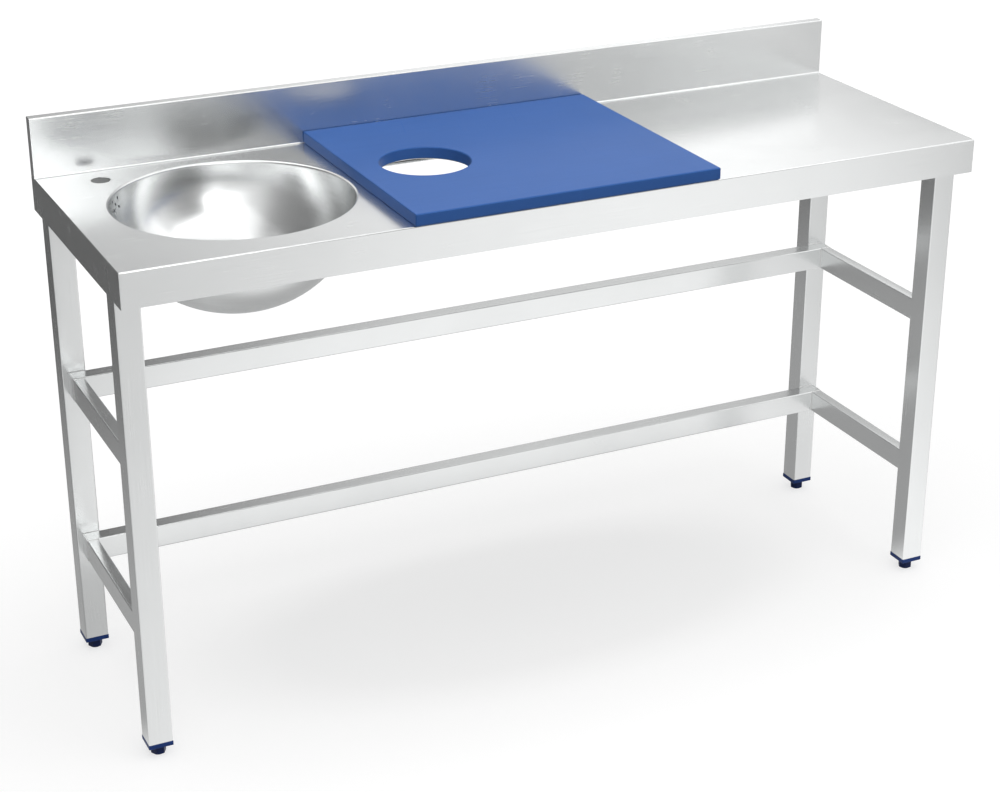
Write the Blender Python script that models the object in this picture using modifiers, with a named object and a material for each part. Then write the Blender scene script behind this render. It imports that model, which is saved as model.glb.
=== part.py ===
# Stainless steel sink table: a folded worktop with a rear upstand, a round sink bowl with its
# drain and overflow, a lift-off cutting board with a waste hole, and a square-tube frame on
# screw-adjustable feet. Metres, +Z up, the floor is z = 0 and the front faces -Y.

import bmesh
import bpy
from math import asin, cos, pi, radians, sin, sqrt
from mathutils import Matrix, Vector

# Worktop
worktop_width = 1.500
worktop_depth = 0.500
worktop_height = 0.850
sheet = 0.0015
apron_height = 0.058
fold_radius = 0.002
front_lip = 0.015
rear_lip = 0.036
upstand_height = 0.100
upstand_thickness = 0.020
upstand_fillet = 0.003

# Cutting board and the waste opening under its hole
board_from_left = 0.462
board_width = 0.534
board_thickness = 0.020
board_overhang = 0.003
board_rear_gap = 0.0015
board_edge_radius = 0.0025
waste_from_board_left = 0.120
waste_hole_diameter = 0.150
waste_opening_margin = 0.005

# Sink bowl
sink_from_left = 0.258
mouth_diameter = 0.387
mouth_edge_radius = 0.004
mouth_lip_depth = 0.006
bowl_wall = 0.001
bowl_depth = 0.176
bowl_flange = 0.012
drain_seat_radius = 0.036
drain_hole_radius = 0.020

# Tap hole
tap_hole_diameter = 0.032
tap_from_left = 0.095
tap_from_upstand = 0.052

# Drain fitting
gasket_thickness = 0.0015
gasket_width = 0.013
strainer_thickness = 0.0015
strainer_dish_depth = 0.004
spigot_wall = 0.0015
spigot_below_bowl = 0.007
strainer_hole_radius = 0.0022
backnut_height = 0.0045
backnut_width = 0.008

# Overflow: five holes towards the tap corner and the box behind them
overflow_azimuth = radians(145)
overflow_below_top = 0.021
overflow_hole_radius = 0.003
overflow_spread = 0.0115
overflow_rise = 0.0072
overflow_box_width = 0.044
overflow_box_height = 0.034
overflow_box_depth = 0.024
overflow_box_wall = 0.002
overflow_spout_radius = 0.007
overflow_spout_length = 0.018

# Frame tubes
leg_width = 0.040
tube_wall = 0.0015
tube_corner = 0.002
leg_front_inset = 0.045
leg_rear_inset = 0.040
stretcher_height = 0.040
rear_stretcher_depth = 0.030
side_stretcher_width = 0.020
upper_stretcher_top = 0.531
lower_stretcher_top = 0.232
end_cap_thickness = 0.0015

# Channels under the sheet and the plates that tie the legs to them
channel_width = 0.040
channel_height = 0.020
channel_wall = 0.0015
channel_end_gap = 0.002
centre_channel_from_left = 0.735
right_channel_from_left = 1.110
plate_thickness = 0.003
plate_wing = 0.020
bolt_from_leg_centre = 0.030
bolt_radius = 0.004
bolt_above_channel = 0.006
bolt_head_across_flats = 0.013
bolt_head_height = 0.0053

# Adjustable feet
foot_height = 0.0185
foot_across_flats = 0.022
foot_edge = 0.0015
stud_radius = 0.005
stud_length = 0.066
plug_flange_thickness = 0.008
plug_flange_overhang = 0.0004
plug_flange_edge = 0.001
plug_length = 0.022
plug_rib_depth = 0.0012
plug_rib_height = 0.002
plug_rib_pitch = 0.006
nut_across_flats = 0.017
nut_height = 0.008
nut_pocket_depth = 0.004

# Clearances
weld_gap = 0.0003
running_gap = 0.0003
cut_margin = 0.002

# Places worked out from the sizes
left = -worktop_width / 2
right = worktop_width / 2
back = (worktop_depth + board_overhang) / 2
front = back - worktop_depth
middle = (front + back) / 2
top = worktop_height
underside = top - sheet
apron_bottom = top - apron_height
upstand_face = back - upstand_thickness
upstand_top = top + upstand_height

board_left = left + board_from_left
board_front = front - board_overhang
board_back = upstand_face - board_rear_gap
board_bottom = top + weld_gap
waste_x = board_left + waste_from_board_left
waste_y = (board_front + board_back) / 2

sink_x = left + sink_from_left
sink_y = middle
mouth_radius = mouth_diameter / 2
neck_radius = mouth_radius + sheet + weld_gap
neck_bottom = top - mouth_lip_depth
drain_seat = top - bowl_depth
bowl_fall = (neck_bottom - drain_seat) / sqrt(1 - (drain_seat_radius / neck_radius) ** 2)

channel_top = underside - weld_gap
channel_bottom = channel_top - channel_height
plate_top = channel_bottom - weld_gap
plate_bottom = plate_top - plate_thickness
leg_top = plate_bottom - weld_gap
flange_bottom = foot_height + running_gap
leg_bottom = flange_bottom + plug_flange_thickness + weld_gap
leg_x = {"left": left + sheet + weld_gap + leg_width / 2}
leg_x["right"] = -leg_x["left"]
leg_y = {
    "front": front + leg_front_inset + leg_width / 2,
    "rear": back - leg_rear_inset - leg_width / 2,
}
rear_stretcher_back = leg_y["rear"] - leg_width / 2 - weld_gap
rear_stretcher_front = rear_stretcher_back - rear_stretcher_depth
stretcher_end = leg_x["right"] + side_stretcher_width / 2
stretcher_tops = {"upper": upper_stretcher_top, "lower": lower_stretcher_top}

# Finishes: base colour, roughness, metallic
steel = ((0.72, 0.73, 0.73), 0.30, 1.0)
bright_steel = ((0.72, 0.73, 0.73), 0.22, 1.0)
blue_polyethylene = ((0.07, 0.16, 0.46), 0.50, 0.0)
navy_plastic = ((0.012, 0.035, 0.17), 0.45, 0.0)
dark_plastic = ((0.012, 0.018, 0.05), 0.50, 0.0)
black_rubber = ((0.02, 0.02, 0.02), 0.70, 0.0)


def clear_scene():
    """Removes every object, and the collections they were in."""
    for item in list(bpy.data.objects):
        bpy.data.objects.remove(item, do_unlink=True)
    for group in list(bpy.data.collections):
        bpy.data.collections.remove(group)


def make_collection(name):
    group = bpy.data.collections.new(name)
    bpy.context.scene.collection.children.link(group)
    return group


def give_finish(item, finish):
    """One material for each piece, with the finish's colour, roughness and metallic value."""
    colour, roughness, metallic = finish
    material = bpy.data.materials.new(item.name)
    material.use_nodes = True
    shader = material.node_tree.nodes["Principled BSDF"]
    shader.inputs["Base Color"].default_value = (*colour, 1.0)
    shader.inputs["Roughness"].default_value = roughness
    shader.inputs["Metallic"].default_value = metallic
    material.diffuse_color = (*colour, 1.0)
    item.data.materials.append(material)


def add_object(name, shape, location, finish=None, turn=0.0):
    """Turns the shape into an object. A shape with no finish is a cutter, and isn't rendered."""
    mesh = bpy.data.meshes.new(name)
    shape.to_mesh(mesh)
    shape.free()
    item = bpy.data.objects.new(name, mesh)
    item.location = location
    item.rotation_euler.z = turn
    if finish is None:
        cutters.objects.link(item)
        item.hide_render = True
        item.display_type = "WIRE"
    else:
        table.objects.link(item)
        give_finish(item, finish)
        mesh.shade_smooth()
        mesh.set_sharp_from_angle(angle=radians(30))
    return item


def combine(item, other, operation="DIFFERENCE"):
    modifier = item.modifiers.new(other.name, "BOOLEAN")
    modifier.operation = operation
    modifier.solver = "EXACT"
    modifier.object = other


def box_shape(size, radius=0.0, segments=2, rounded=None):
    """A box round the origin. rounded picks the edges to round, from an edge's direction and middle."""
    shape = bmesh.new()
    bmesh.ops.create_cube(shape, size=1.0, matrix=Matrix.Diagonal((*size, 1.0)))
    if radius:
        chosen = []
        for edge in shape.edges:
            start, end = (vert.co for vert in edge.verts)
            if rounded is None or rounded((end - start).normalized(), (start + end) / 2):
                chosen.append(edge)
        bmesh.ops.bevel(
            shape, geom=chosen, offset=radius, segments=segments, profile=0.5, affect="EDGES"
        )
    return shape


def along(axis):
    """Picks the edges that run along one axis, for box_shape."""
    return lambda direction, place: abs(direction[axis]) > 0.99


def add_cylinder(shape, place, radius, depth, segments, axis="Z"):
    """Adds a cylinder to a shape, centred on the place and lying along the axis."""
    lie_down = {"X": Matrix.Rotation(pi / 2, 4, "Y"), "Y": Matrix.Rotation(pi / 2, 4, "X")}
    bmesh.ops.create_cone(
        shape,
        cap_ends=True,
        segments=segments,
        radius1=radius,
        radius2=radius,
        depth=depth,
        matrix=Matrix.Translation(place) @ lie_down.get(axis, Matrix.Identity(4)),
    )


def cylinder_shape(radius, depth, segments, axis="Z"):
    shape = bmesh.new()
    add_cylinder(shape, (0.0, 0.0, 0.0), radius, depth, segments, axis)
    return shape


def turned_object(name, profile, location, finish=None, steps=64):
    """Turns a closed profile of (radius, height) points round Z, with a Screw modifier."""
    shape = bmesh.new()
    verts = [shape.verts.new((radius, 0.0, height)) for radius, height in profile]
    for start, end in zip(verts, verts[1:] + verts[:1]):
        if start.co.x > 0.0 or end.co.x > 0.0:
            shape.edges.new((start, end))
    item = add_object(name, shape, location, finish)
    screw = item.modifiers.new("turn", "SCREW")
    screw.axis = "Z"
    screw.angle = 2 * pi
    screw.steps = steps
    screw.render_steps = steps
    screw.use_merge_vertices = True
    screw.merge_threshold = 0.00001
    return item


def arc_points(centre, radius, start, end, segments):
    """Points on a profile's round corner, with the angles in degrees."""
    points = []
    for step in range(segments + 1):
        angle = radians(start + (end - start) * step / segments)
        points.append((centre[0] + radius * cos(angle), centre[1] + radius * sin(angle)))
    return points


def span_box(low, high, **choices):
    """A box between two corners: its shape and its centre."""
    size = [far - near for near, far in zip(low, high)]
    centre = [(far + near) / 2 for near, far in zip(low, high)]
    return box_shape(size, **choices), centre


# Worktop


def cut_worktop_underside(item):
    """Hollows the folded sheet from below, and leaves the aprons' lips and the sink mouth's lip."""
    tray, place = span_box(
        (left + sheet, front + sheet, apron_bottom + sheet),
        (right - sheet, back - sheet, underside),
    )
    tray_cut = add_object("tray_cut", tray, place)
    boss_depth = mouth_lip_depth - sheet
    boss = add_object(
        "mouth_boss",
        cylinder_shape(mouth_radius + sheet, boss_depth + cut_margin, 64),
        (sink_x, sink_y, underside + (cut_margin - boss_depth) / 2),
    )
    combine(tray_cut, boss)
    combine(item, tray_cut)
    way_in, place = span_box(
        (left + sheet, front + front_lip, apron_bottom - cut_margin),
        (right - sheet, back - rear_lip, apron_bottom + sheet + cut_margin),
    )
    combine(item, add_object("way_in_cut", way_in, place))


def cut_upstand_hollow(item):
    """Hollows the folded upstand, open to the tray below and at both ends for the end plates."""
    inside_front = upstand_face + sheet
    inside_back = back - sheet
    hollow, place = span_box(
        (left + sheet, inside_front, underside - cut_margin),
        (right - sheet, inside_back, upstand_top - sheet),
    )
    combine(item, add_object("upstand_hollow", hollow, place))
    ends, place = span_box(
        (left - cut_margin, inside_front, top),
        (right + cut_margin, inside_back, upstand_top - sheet),
    )
    combine(item, add_object("upstand_ends", ends, place))


def sink_mouth_cut():
    """The round mouth with its edge rolled down."""
    edge = arc_points(
        (mouth_radius + mouth_edge_radius, top - mouth_edge_radius), mouth_edge_radius, 90, 180, 5
    )
    profile = [(0.0, top + cut_margin), (mouth_radius + mouth_edge_radius, top + cut_margin)]
    profile += edge
    profile += [(mouth_radius, neck_bottom - cut_margin), (0.0, neck_bottom - cut_margin)]
    return turned_object("mouth_cut", profile, (sink_x, sink_y, 0.0))


def build_worktop():
    def outer_folds(direction, place):
        """The folds round the top's front and sides, and the front corners of the aprons."""
        if abs(direction.z) > 0.99:
            return place.y < 0.0
        return place.z > 0.0 and not (abs(direction.x) > 0.99 and place.y > 0.0)

    slab, place = span_box(
        (left, front, apron_bottom),
        (right, back, top),
        radius=fold_radius,
        segments=3,
        rounded=outer_folds,
    )
    item = add_object("worktop_sheet", slab, place, steel)
    upstand, place = span_box(
        (left, upstand_face, apron_bottom),
        (right, back, upstand_top),
        radius=fold_radius,
        segments=3,
        rounded=lambda direction, spot: abs(direction.x) > 0.99 and spot.z > 0.0,
    )
    combine(item, add_object("upstand_fold", upstand, place), "UNION")
    fillet, place = span_box(
        (left, upstand_face - upstand_fillet, top - sheet / 2),
        (right, upstand_face + sheet / 2, top + upstand_fillet),
    )
    fillet_strip = add_object("upstand_fillet", fillet, place)
    round_cut = add_object(
        "fillet_round",
        cylinder_shape(upstand_fillet, worktop_width + 2 * cut_margin, 32, axis="X"),
        (0.0, upstand_face - upstand_fillet, top + upstand_fillet),
    )
    combine(fillet_strip, round_cut)
    combine(item, fillet_strip, "UNION")
    cut_worktop_underside(item)
    cut_upstand_hollow(item)
    combine(item, sink_mouth_cut())
    waste_radius = waste_hole_diameter / 2 + waste_opening_margin
    waste = cylinder_shape(waste_radius, sheet + 2 * cut_margin, 48)
    combine(item, add_object("waste_cut", waste, (waste_x, waste_y, top - sheet / 2)))
    tap = cylinder_shape(tap_hole_diameter / 2, sheet + 2 * cut_margin, 32)
    tap_place = (left + tap_from_left, upstand_face - tap_from_upstand, top - sheet / 2)
    combine(item, add_object("tap_cut", tap, tap_place))
    return item


def build_upstand_ends():
    """The plates welded into the upstand's open ends."""
    for side, end in (("left", left), ("right", right)):
        inner = end + sheet if side == "left" else end - sheet
        plate, place = span_box(
            (min(inner, end), upstand_face + sheet + weld_gap, top + weld_gap),
            (max(inner, end), back - sheet - weld_gap, upstand_top - sheet - weld_gap),
        )
        add_object(f"upstand_end_{side}", plate, place, steel)


# Sink bowl, drain and overflow


def bowl_curve(offset, bottom_radius, segments=13):
    """The bowl's half-oval from the drain seat up to the neck, moved outwards by the offset."""
    across = neck_radius + offset
    fall = bowl_fall + offset
    start = asin(bottom_radius / across)
    points = []
    for step in range(segments + 1):
        angle = start + (pi / 2 - start) * step / segments
        points.append((across * sin(angle), neck_bottom - fall * cos(angle)))
    return points


def seat_edge_radius(offset):
    """Where the offset half-oval meets the flat drain seat."""
    depth = (neck_bottom - drain_seat + offset) / (bowl_fall + offset)
    return (neck_radius + offset) * sqrt(1 - depth * depth)


def build_bowl():
    """The bowl, with a flat seat round its drain hole and a flange under the worktop."""
    flange_radius = neck_radius + bowl_flange
    outside = bowl_curve(bowl_wall, seat_edge_radius(bowl_wall))
    inside = bowl_curve(0.0, drain_seat_radius)
    flange_bottom_height = channel_top - bowl_wall
    profile = [(neck_radius, channel_top), (flange_radius, channel_top)]
    profile += [(flange_radius, flange_bottom_height), (neck_radius + bowl_wall, flange_bottom_height)]
    profile += outside[::-1]
    profile += [(drain_hole_radius, drain_seat - bowl_wall), (drain_hole_radius, drain_seat)]
    profile += inside
    item = turned_object("sink_bowl", profile, (sink_x, sink_y, 0.0), bright_steel)
    holes = bmesh.new()
    for across, up in ((-1, -1), (-1, 1), (1, -1), (1, 1), (0, 0)):
        add_cylinder(
            holes,
            (0.0, across * overflow_spread, up * overflow_rise),
            overflow_hole_radius,
            4 * cut_margin,
            12,
            axis="X",
        )
    combine(item, add_object("overflow_cut", holes, overflow_point(neck_radius), turn=overflow_azimuth))
    return item


def overflow_point(distance, across=0.0, up=0.0):
    """A point beside the bowl, at a distance from its axis along the overflow's direction."""
    outwards = Vector((cos(overflow_azimuth), sin(overflow_azimuth), 0.0))
    sideways = Vector((-outwards.y, outwards.x, 0.0))
    height = top - overflow_below_top + up
    return Vector((sink_x, sink_y, height)) + outwards * distance + sideways * across


def build_drain():
    """Gasket, flanged strainer with its spigot, and the backnut that holds them to the bowl."""
    gasket_bottom = drain_seat + weld_gap
    gasket_top = gasket_bottom + gasket_thickness
    spigot_radius = drain_hole_radius - running_gap
    gasket_inner = drain_hole_radius + running_gap
    gasket_outer = gasket_inner + gasket_width
    gasket = [(gasket_inner, gasket_top), (gasket_outer, gasket_top)]
    gasket += [(gasket_outer, gasket_bottom), (gasket_inner, gasket_bottom)]
    turned_object("drain_gasket", gasket, (sink_x, sink_y, 0.0), black_rubber, steps=32)

    under = gasket_top + weld_gap
    over = under + strainer_thickness
    bore = spigot_radius - spigot_wall
    dish = over - strainer_dish_depth
    spigot_end = drain_seat - bowl_wall - spigot_below_bowl
    strainer = [(strainer_hole_radius, dish), (bore - spigot_wall, dish), (bore, over)]
    strainer += [(gasket_outer, over), (gasket_outer, under), (spigot_radius, under)]
    strainer += [(spigot_radius, spigot_end), (bore, spigot_end)]
    strainer += [(bore, dish - strainer_thickness), (strainer_hole_radius, dish - strainer_thickness)]
    item = turned_object("drain_strainer", strainer, (sink_x, sink_y, 0.0), bright_steel, steps=32)
    holes = bmesh.new()
    for count, distance in ((6, 0.4), (12, 0.75)):
        for number in range(count):
            angle = 2 * pi * number / count
            place = (bore * distance * cos(angle), bore * distance * sin(angle), 0.0)
            add_cylinder(holes, place, strainer_hole_radius, 4 * strainer_thickness, 8)
    dish_place = (sink_x, sink_y, dish - strainer_thickness / 2)
    combine(item, add_object("strainer_cut", holes, dish_place))

    nut_top = drain_seat - bowl_wall - weld_gap
    nut_bottom = nut_top - backnut_height
    nut_inner = spigot_radius + running_gap
    nut_outer = nut_inner + backnut_width
    nut = [(nut_inner, nut_top), (nut_outer, nut_top)]
    nut += [(nut_outer, nut_bottom), (nut_inner, nut_bottom)]
    turned_object("drain_backnut", nut, (sink_x, sink_y, 0.0), navy_plastic, steps=32)


def build_overflow_box():
    """The box behind the overflow holes, with a spout for a hose. Its open side follows the bowl."""
    outer_radius = neck_radius + bowl_wall + weld_gap
    distance = outer_radius + overflow_box_depth / 2 - overflow_box_wall
    size = (overflow_box_depth, overflow_box_width, overflow_box_height)
    shell = box_shape(size, radius=overflow_box_wall, segments=2, rounded=along(0))
    place = overflow_point(distance)
    item = add_object("overflow_box", shell, place, dark_plastic, turn=overflow_azimuth)
    spout_top = place.z - overflow_box_height / 2 + overflow_box_wall
    spout_height = overflow_spout_length + overflow_box_wall
    spout = cylinder_shape(overflow_spout_radius, spout_height, 20)
    spout_place = (place.x, place.y, spout_top - spout_height / 2)
    combine(item, add_object("overflow_spout", spout, spout_place), "UNION")
    inner = [value - 2 * overflow_box_wall for value in size]
    hollow = box_shape((size[0], inner[1], inner[2]))
    hollow_place = overflow_point(distance - overflow_box_wall)
    combine(item, add_object("overflow_hollow", hollow, hollow_place, turn=overflow_azimuth))
    bore = cylinder_shape(overflow_spout_radius - overflow_box_wall, spout_height + 4 * cut_margin, 20)
    combine(item, add_object("overflow_bore", bore, spout_place))
    clear = bowl_curve(bowl_wall + weld_gap, 0.0)
    profile = clear + [(outer_radius, top), (0.0, top)]
    combine(item, turned_object("bowl_room", profile[::-1], (sink_x, sink_y, 0.0)))
    return item


# Cutting board


def build_board():
    """The lift-off board, with every edge and its waste hole rounded."""
    board, place = span_box(
        (board_left, board_front, board_bottom),
        (board_left + board_width, board_back, board_bottom + board_thickness),
    )
    item = add_object("cutting_board", board, place, blue_polyethylene)
    hole = cylinder_shape(waste_hole_diameter / 2, board_thickness + 2 * cut_margin, 64)
    combine(item, add_object("board_hole", hole, (waste_x, waste_y, place[2])))
    rounding = item.modifiers.new("edges", "BEVEL")
    rounding.width = board_edge_radius
    rounding.segments = 3
    rounding.limit_method = "ANGLE"
    rounding.angle_limit = radians(40)
    return item


# Frame


def build_tube(name, size, place, length_axis, finish=steel):
    """A tube with rounded corners, open at both ends."""
    outer = box_shape(size, radius=tube_corner, segments=2, rounded=along(length_axis))
    item = add_object(name, outer, place, finish)
    inner_size = [value - 2 * tube_wall for value in size]
    inner_size[length_axis] = size[length_axis] + 2 * cut_margin
    inner = add_object(f"{name}_bore", box_shape(inner_size), place)
    combine(item, inner)
    return item


def build_legs():
    length = leg_top - leg_bottom
    for depth, y in leg_y.items():
        for side, x in leg_x.items():
            size = (leg_width, leg_width, length)
            place = (x, y, leg_bottom + length / 2)
            build_tube(f"leg_{depth}_{side}", size, place, 2)


def build_rear_stretchers():
    """Both stretchers stand in front of the rear legs, with a plate welded on each end."""
    length = 2 * (stretcher_end - end_cap_thickness - weld_gap)
    y = rear_stretcher_back - rear_stretcher_depth / 2
    for level, height in stretcher_tops.items():
        z = height - stretcher_height / 2
        size = (length, rear_stretcher_depth, stretcher_height)
        build_tube(f"rear_stretcher_{level}", size, (0.0, y, z), 0)
        cap_size = (end_cap_thickness, rear_stretcher_depth, stretcher_height)
        for side, sign in (("left", -1), ("right", 1)):
            cap = box_shape(cap_size, radius=tube_corner, segments=2, rounded=along(0))
            x = sign * (stretcher_end - end_cap_thickness / 2)
            add_object(f"rear_stretcher_cap_{level}_{side}", cap, (x, y, z), steel)


def build_side_stretchers():
    """Thinner tubes in line with the legs, from each front leg to the rear stretcher."""
    start = leg_y["front"] + leg_width / 2 + weld_gap
    end = rear_stretcher_front - weld_gap
    for level, height in stretcher_tops.items():
        for side, x in leg_x.items():
            size = (side_stretcher_width, end - start, stretcher_height)
            place = (x, (start + end) / 2, height - stretcher_height / 2)
            build_tube(f"side_stretcher_{level}_{side}", size, place, 1)


def build_channel(name, x, bolt_rows=()):
    """A channel welded under the sheet, open upwards, with bolt holes where a leg's plate sits."""
    start = front + sheet + channel_end_gap
    end = upstand_face - channel_end_gap
    outer, place = span_box(
        (x - channel_width / 2, start, channel_bottom),
        (x + channel_width / 2, end, channel_top),
        radius=tube_corner,
        segments=2,
        rounded=lambda direction, spot: abs(direction.y) > 0.99 and spot.z < 0.0,
    )
    item = add_object(name, outer, place, steel)
    inner, place = span_box(
        (x - channel_width / 2 + channel_wall, start - cut_margin, channel_bottom + channel_wall),
        (x + channel_width / 2 - channel_wall, end + cut_margin, channel_top + cut_margin),
    )
    combine(item, add_object(f"{name}_trough", inner, place))
    for number, y in enumerate(bolt_rows, 1):
        hole = cylinder_shape(bolt_radius + running_gap, channel_wall + 2 * cut_margin, 16)
        cut = add_object(f"{name}_hole_{number}", hole, (x, y, channel_bottom + channel_wall / 2))
        combine(item, cut)
    return item


def build_channels():
    rows = [y + sign * bolt_from_leg_centre for y in leg_y.values() for sign in (-1, 1)]
    for side, x in leg_x.items():
        build_channel(f"channel_{side}", x, rows)
    build_channel("stiffener_centre", left + centre_channel_from_left)
    build_channel("stiffener_right", left + right_channel_from_left)


def build_leg_plates():
    """The plate on top of each leg and the two bolts that hold it to its channel."""
    for depth, y in leg_y.items():
        for side, x in leg_x.items():
            place = (x, y, (plate_top + plate_bottom) / 2)
            size = (leg_width, leg_width + 2 * plate_wing, plate_thickness)
            plate = box_shape(size, radius=tube_corner, segments=2, rounded=along(2))
            item = add_object(f"leg_plate_{depth}_{side}", plate, place, steel)
            for row, sign in (("near", -1), ("far", 1)):
                bolt_y = y + sign * bolt_from_leg_centre
                hole = cylinder_shape(bolt_radius + running_gap, plate_thickness + 2 * cut_margin, 16)
                cut = add_object(f"{item.name}_hole_{row}", hole, (x, bolt_y, place[2]))
                combine(item, cut)
                build_bolt(f"leg_bolt_{depth}_{side}_{row}", x, bolt_y)


def hexagon_radius(across_flats):
    return across_flats / 2 / cos(pi / 6)


def build_bolt(name, x, y):
    """A hexagon bolt from below, through the plate and the channel's web."""
    head_top = plate_bottom - weld_gap
    end = channel_bottom + channel_wall + bolt_above_channel
    head_radius = hexagon_radius(bolt_head_across_flats)
    item = add_object(
        name,
        cylinder_shape(head_radius, bolt_head_height, 6),
        (x, y, head_top - bolt_head_height / 2),
        bright_steel,
    )
    start = head_top - bolt_head_height / 2
    shank = add_object(
        f"{name}_shank", cylinder_shape(bolt_radius, end - start, 16), (x, y, (start + end) / 2)
    )
    combine(item, shank, "UNION")


# Feet


def build_plug(name, x, y):
    """The plug in the leg's end: a square flange, a ribbed body, a stud bore and a nut pocket."""
    width = leg_width + 2 * plug_flange_overhang
    flange_place = (x, y, flange_bottom + plug_flange_thickness / 2)
    flange = box_shape((width, width, plug_flange_thickness), radius=plug_flange_edge, segments=2)
    item = add_object(name, flange, flange_place, navy_plastic)
    rib_width = leg_width - 2 * tube_wall - 2 * running_gap
    body_width = rib_width - 2 * plug_rib_depth
    body_bottom = flange_bottom + plug_flange_thickness / 2
    body_top = leg_bottom + plug_length
    body_height = body_top - body_bottom
    body = add_object(
        f"{name}_body",
        box_shape((body_width, body_width, body_height)),
        (x, y, body_bottom + body_height / 2),
    )
    combine(item, body, "UNION")
    for number in range(3):
        rib_z = body_top - plug_rib_height - number * plug_rib_pitch
        rib = box_shape((rib_width, rib_width, plug_rib_height))
        combine(item, add_object(f"{name}_rib_{number}", rib, (x, y, rib_z)), "UNION")
    bore = cylinder_shape(stud_radius + running_gap, 2 * plug_length + 4 * cut_margin, 24)
    combine(item, add_object(f"{name}_bore", bore, (x, y, body_bottom + body_height / 2)))
    pocket_radius = hexagon_radius(nut_across_flats + 2 * running_gap)
    pocket = cylinder_shape(pocket_radius, nut_pocket_depth + cut_margin, 6)
    pocket_z = body_top + (cut_margin - nut_pocket_depth) / 2
    combine(item, add_object(f"{name}_pocket", pocket, (x, y, pocket_z)))
    return body_top - nut_pocket_depth


def build_foot_nut(name, x, y, seat):
    """The nut held in the plug's pocket, which the foot's stud screws through."""
    z = seat + weld_gap + nut_height / 2
    nut = cylinder_shape(hexagon_radius(nut_across_flats), nut_height, 6)
    item = add_object(name, nut, (x, y, z), bright_steel)
    bore = cylinder_shape(stud_radius + running_gap, nut_height + 2 * cut_margin, 24)
    combine(item, add_object(f"{name}_bore", bore, (x, y, z)))


def build_foot(name, x, y):
    """A hexagonal foot and its stud. The object's origin lies on the stud's axis, at the floor."""
    radius = hexagon_radius(foot_across_flats)
    shape = cylinder_shape(radius, foot_height, 6)
    bmesh.ops.translate(shape, verts=shape.verts, vec=(0.0, 0.0, foot_height / 2))
    rims = [edge for edge in shape.edges if abs(edge.verts[0].co.z - edge.verts[1].co.z) < 1e-6]
    bmesh.ops.bevel(shape, geom=rims, offset=foot_edge, segments=2, profile=0.5, affect="EDGES")
    item = add_object(name, shape, (x, y, 0.0), dark_plastic)
    start = foot_height / 2
    stud = cylinder_shape(stud_radius, stud_length + foot_height - start, 20)
    stud_z = start + (stud_length + foot_height - start) / 2
    combine(item, add_object(f"{name}_stud", stud, (x, y, stud_z)), "UNION")


def build_feet():
    for depth, y in leg_y.items():
        for side, x in leg_x.items():
            seat = build_plug(f"leg_plug_{depth}_{side}", x, y)
            build_foot_nut(f"foot_nut_{depth}_{side}", x, y, seat)
            build_foot(f"foot_{depth}_{side}", x, y)


clear_scene()
table = make_collection("stainless_sink_table")
cutters = make_collection("cutters")
build_worktop()
build_upstand_ends()
build_bowl()
build_drain()
build_overflow_box()
build_board()
build_legs()
build_leg_plates()
build_channels()
build_rear_stretchers()
build_side_stretchers()
build_feet()
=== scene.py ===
from math import cos, pi, radians, sin, sqrt

import bmesh
import bpy
from mathutils import Matrix, Vector


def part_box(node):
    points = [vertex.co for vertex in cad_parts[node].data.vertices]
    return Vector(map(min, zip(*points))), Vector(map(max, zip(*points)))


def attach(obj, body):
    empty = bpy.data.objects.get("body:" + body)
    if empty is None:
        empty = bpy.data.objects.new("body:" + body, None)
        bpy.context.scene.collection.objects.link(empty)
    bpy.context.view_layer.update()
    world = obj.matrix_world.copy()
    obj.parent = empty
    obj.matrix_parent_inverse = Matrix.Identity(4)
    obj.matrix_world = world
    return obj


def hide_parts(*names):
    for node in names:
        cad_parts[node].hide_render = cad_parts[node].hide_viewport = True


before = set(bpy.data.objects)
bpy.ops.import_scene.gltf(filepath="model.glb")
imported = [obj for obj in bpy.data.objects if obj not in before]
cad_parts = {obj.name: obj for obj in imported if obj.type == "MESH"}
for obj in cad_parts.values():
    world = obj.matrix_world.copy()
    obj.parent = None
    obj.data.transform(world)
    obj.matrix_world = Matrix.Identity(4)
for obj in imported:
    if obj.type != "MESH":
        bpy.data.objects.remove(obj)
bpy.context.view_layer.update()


# names used by more than one piece
corners = ["front_left", "front_right", "rear_left", "rear_right"]
levels = ["upper", "lower"]
sides = ["left", "right"]


# camera: where the photograph was taken from, in metres and degrees
camera = {
    "place": (-1.4791, -3.0532, 1.9141),
    "turn": (66.180, 0.082, -25.445),
    "lens": 76.53,
    "sensor": 36.0,
    "reach": 100.0,
}


def addCamera():
    data = bpy.data.cameras.new("camera")
    data.lens = camera["lens"]
    data.sensor_width = camera["sensor"]
    data.clip_end = camera["reach"]
    item = bpy.data.objects.new("camera", data)
    item.location = camera["place"]
    item.rotation_euler = [radians(angle) for angle in camera["turn"]]
    bpy.context.scene.collection.objects.link(item)
    bpy.context.scene.camera = item


addCamera()
print("camera placed")


class Wire:
    # one output socket; sums and products of wires and numbers add their Math nodes
    def __init__(self, look, socket):
        self.look = look
        self.socket = socket

    def math(self, operation, *values):
        return self.look.add("ShaderNodeMath", {"operation": operation}, dict(enumerate(values)))

    def __add__(self, other):
        return self.math("ADD", self, other)

    def __radd__(self, other):
        return self.math("ADD", other, self)

    def __sub__(self, other):
        return self.math("SUBTRACT", self, other)

    def __rsub__(self, other):
        return self.math("SUBTRACT", other, self)

    def __mul__(self, other):
        return self.math("MULTIPLY", self, other)

    def __rmul__(self, other):
        return self.math("MULTIPLY", other, self)

    def __truediv__(self, other):
        return self.math("DIVIDE", self, other)

    def __gt__(self, other):
        return self.math("GREATER_THAN", self, other)


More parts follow.
